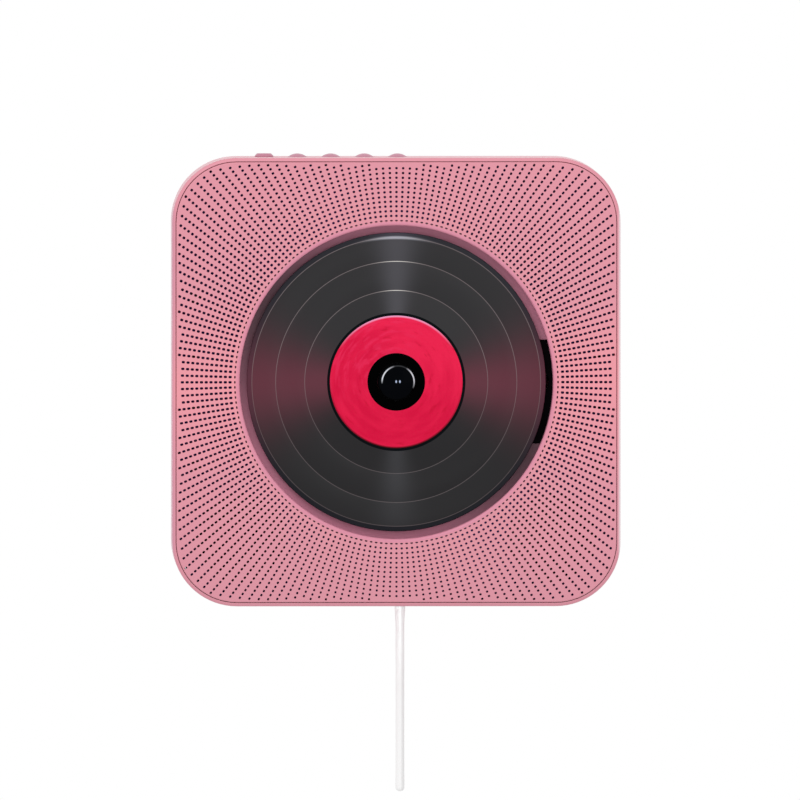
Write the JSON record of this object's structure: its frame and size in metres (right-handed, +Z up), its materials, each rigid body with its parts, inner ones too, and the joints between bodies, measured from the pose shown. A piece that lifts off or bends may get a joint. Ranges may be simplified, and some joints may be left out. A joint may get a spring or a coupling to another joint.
{
  "type": "wall mounted cd player",
  "caption": "Square wall player with an open round disc well, perforated front, top-edge buttons and a short pull-switch cord below.",
  "frame": {"origin": "on the wall, at the centre of the bracket's back face, on the spindle's axis", "axes": "+X to the right seen from the front, +Y into the wall, +Z up"},
  "size_m": [0.18, 0.04, 0.2564],
  "materials": {
    "casing_pink": "fine satin moulding",
    "grille_pink": "satin, perforated",
    "well_pink": "satin",
    "button_pink": "soft gloss",
    "black_plastic": "fine texture",
    "hub_black": "polished",
    "baffle_black": "fine texture",
    "screw_black": "black oxide",
    "disc_black": "fine concentric grooves",
    "label_red": "smooth print",
    "cord_white": "smooth sheath",
    "steel": "drawn",
    "bracket_steel": "white powder coat",
    "screw_steel": "zinc plated",
    "brass": "turned",
    "rubber": "matte",
    "nylon_white": "natural",
    "grey_plastic": "moulded",
    "board_green": "solder mask",
    "chip_black": "epoxy",
    "can_aluminium": "sleeved",
    "cone_paper": "pressed paper",
    "ferrite": "sintered",
    "lens_glass": "coated",
    "copper_winding": "laminated steel and enamelled wire",
    "lead_red": "smooth"
  },
  "bodies": {
    "bracket": {"wall_bracket": "bracket_steel"},
    "player": {"housing_shell": "casing_pink", "front_grille": "grille_pink", "disc_well": "well_pink", "mechanism_cover": "black_plastic", "speaker_baffle": "baffle_black", "rear_cover": "casing_pink", "rubber_bumpers": "rubber", "case_screws": "screw_steel", "inner_screws": "screw_black", "button_board": "board_green", "tact_switches": "chip_black", "main_board": "board_green", "board_chips": "chip_black", "capacitors": "can_aluminium", "power_jack": "black_plastic", "speaker_wires": "lead_red", "gear_pin": "steel", "sled_motor": "steel", "guide_rods": "steel", "mechanism_chassis": "grey_plastic", "damper_grommets": "rubber", "mechanism_ribbon": "nylon_white", "spindle_motor_can": "steel", "motor_magnets": "ferrite", "spindle_bearing": "brass", "spindle_motor_cap": "nylon_white", "cord_gland": "cord_white", "pull_switch_body": "black_plastic", "pull_spring": "steel", "left_speaker_basket": "steel", "left_speaker_cone": "cone_paper", "left_speaker_magnet": "ferrite", "right_speaker_basket": "steel", "right_speaker_cone": "cone_paper", "right_speaker_magnet": "ferrite"},
    "sled": {"laser_sled": "grey_plastic", "sled_rack": "nylon_white"},
    "lens": {"lens_holder": "black_plastic", "objective_lens": "lens_glass"},
    "drive_gear": {"drive_gear": "nylon_white"},
    "motor_pinion": {"motor_pinion": "brass"},
    "spindle": {"spindle_rotor": "copper_winding", "spindle_shaft": "steel", "turntable": "hub_black", "chuck_balls": "hub_black", "turntable_mat": "rubber"},
    "disc": {"disc": "disc_black", "disc_label": "label_red"},
    "pull_cord": {"pull_rod": "cord_white", "cord_sleeve": "cord_white", "pull_cord": "cord_white", "cord_tip": "cord_white"},
    "play_button": {"play_button": "button_pink"},
    "previous_button": {"previous_button": "button_pink"},
    "next_button": {"next_button": "button_pink"},
    "volume_down_button": {"volume_down_button": "button_pink"},
    "volume_up_button": {"volume_up_button": "button_pink"}
  },
  "joints": [
    {"name": "hang_lift", "type": "slide", "parent": "bracket", "child": "player", "axis": [0, 0, 1], "range_m": [0, 0.009]},
    {"name": "spindle_spin", "type": "hinge", "parent": "player", "child": "spindle", "pos_m": [0, -0.03, 0], "axis": [0, -1, 0], "continuous": true},
    {"name": "disc_lift", "type": "slide", "parent": "spindle", "child": "disc", "axis": [0, -1, 0], "range_m": [0, 0.025]},
    {"name": "sled_slide", "type": "slide", "parent": "player", "child": "sled", "axis": [1, 0, 0], "range_m": [0, 0.033]},
    {"name": "drive_gear_spin", "type": "hinge", "parent": "player", "child": "drive_gear", "pos_m": [0.034, -0.018, 0.0258], "axis": [0, -1, 0], "range_deg": [-5, 400]},
    {"name": "pinion_spin", "type": "hinge", "parent": "player", "child": "motor_pinion", "pos_m": [0.04364, -0.015, 0.03729], "axis": [0, -1, 0], "range_deg": [-1600, 20]},
    {"name": "lens_focus", "type": "slide", "parent": "sled", "child": "lens", "axis": [0, -1, 0], "range_m": [-0.0005, 0.0005], "stiffness_N_per_m": 60},
    {"name": "cord_pull", "type": "slide", "parent": "player", "child": "pull_cord", "axis": [0, 0, -1], "range_m": [0, 0.006], "stiffness_N_per_m": 300, "springref_m": -0.002, "deforming": ["pull_spring"]},
    {"name": "play_press", "type": "slide", "parent": "player", "child": "play_button", "axis": [0, 0, -1], "range_m": [0, 0.0008], "stiffness_N_per_m": 900, "springref_m": -0.0005},
    {"name": "previous_press", "type": "slide", "parent": "player", "child": "previous_button", "axis": [0, 0, -1], "range_m": [0, 0.0008], "stiffness_N_per_m": 900, "springref_m": -0.0005},
    {"name": "next_press", "type": "slide", "parent": "player", "child": "next_button", "axis": [0, 0, -1], "range_m": [0, 0.0008], "stiffness_N_per_m": 900, "springref_m": -0.0005},
    {"name": "volume_down_press", "type": "slide", "parent": "player", "child": "volume_down_button", "axis": [0, 0, -1], "range_m": [0, 0.0008], "stiffness_N_per_m": 900, "springref_m": -0.0005},
    {"name": "volume_up_press", "type": "slide", "parent": "player", "child": "volume_up_button", "axis": [0, 0, -1], "range_m": [0, 0.0008], "stiffness_N_per_m": 900, "springref_m": -0.0005}
  ],
  "couplings": [
    {"joint": "drive_gear_spin", "follows": "sled_slide", "rad_per_m": 208.33},
    {"joint": "pinion_spin", "follows": "sled_slide", "rad_per_m": -833.33}
  ]
}
